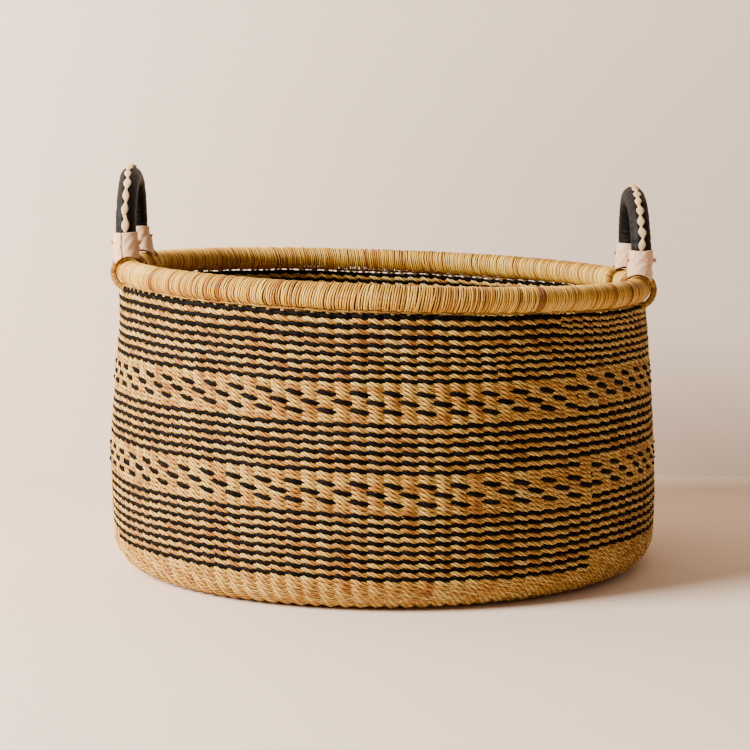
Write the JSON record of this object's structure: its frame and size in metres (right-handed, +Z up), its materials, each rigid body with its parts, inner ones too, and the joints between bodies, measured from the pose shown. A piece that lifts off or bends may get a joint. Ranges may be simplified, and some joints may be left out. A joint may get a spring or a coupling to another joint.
{
  "type": "woven storage basket",
  "caption": "Wide round basket twined from natural and black grass straw, with a wrapped rim and two arched leather-covered handles that swing; for storing soft things.",
  "frame": {"origin": "middle of the base's underside, on the floor", "axes": "+Z up; the handles stand at -X (left) and +X (right); -Y is the front"},
  "size_m": [0.5619, 0.562, 0.4066],
  "materials": {
    "natural_straw": "dry twisted grass straw, pale gold, slightly glossy",
    "black_straw": "black-dyed twisted grass straw",
    "stake_straw": "bundled dry grass, matt",
    "rim_straw": "split grass straw wrapped tight, golden, slightly glossy",
    "loop_straw": "straw-wrapped cord, golden brown",
    "black_leather": "soft black goatskin, matt with worn edges",
    "white_leather": "cream rawhide lace, matt",
    "natural_leather": "undyed vegetable-tanned leather, matt",
    "tie_thong": "thin tan leather thong, knotted"
  },
  "bodies": {
    "basket": {"base_centre": "natural_straw", "base_weave": "natural_straw", "foot_band": "natural_straw", "lower_stripe_band": "black_straw", "lower_diamond_band": "natural_straw", "middle_stripe_band": "black_straw", "upper_diamond_band": "natural_straw", "upper_stripe_band": "black_straw", "header_row": "natural_straw", "first_stakes": "stake_straw", "second_stakes": "stake_straw", "third_stakes": "stake_straw", "rim_core": "stake_straw", "rim_wrap": "rim_straw"},
    "left_handle": {"left_handle_core": "stake_straw", "left_handle_sleeve": "black_leather", "left_handle_lace": "white_leather", "left_front_cuff": "natural_leather", "left_front_tie": "tie_thong", "left_front_loop": "loop_straw", "left_rear_cuff": "natural_leather", "left_rear_tie": "tie_thong", "left_rear_loop": "loop_straw"},
    "right_handle": {"right_handle_core": "stake_straw", "right_handle_sleeve": "black_leather", "right_handle_lace": "white_leather", "right_front_cuff": "natural_leather", "right_front_tie": "tie_thong", "right_front_loop": "loop_straw", "right_rear_cuff": "natural_leather", "right_rear_tie": "tie_thong", "right_rear_loop": "loop_straw"}
  },
  "joints": [
    {"name": "left_handle_swing", "type": "hinge", "parent": "basket", "child": "left_handle", "pos_m": [-0.25494, 0, 0.30135], "axis": [0, 1, 0], "range_deg": [-25, 25]},
    {"name": "right_handle_swing", "type": "hinge", "parent": "basket", "child": "right_handle", "pos_m": [0.25494, 0, 0.28325], "axis": [0, -1, 0], "range_deg": [-25, 25]}
  ]
}
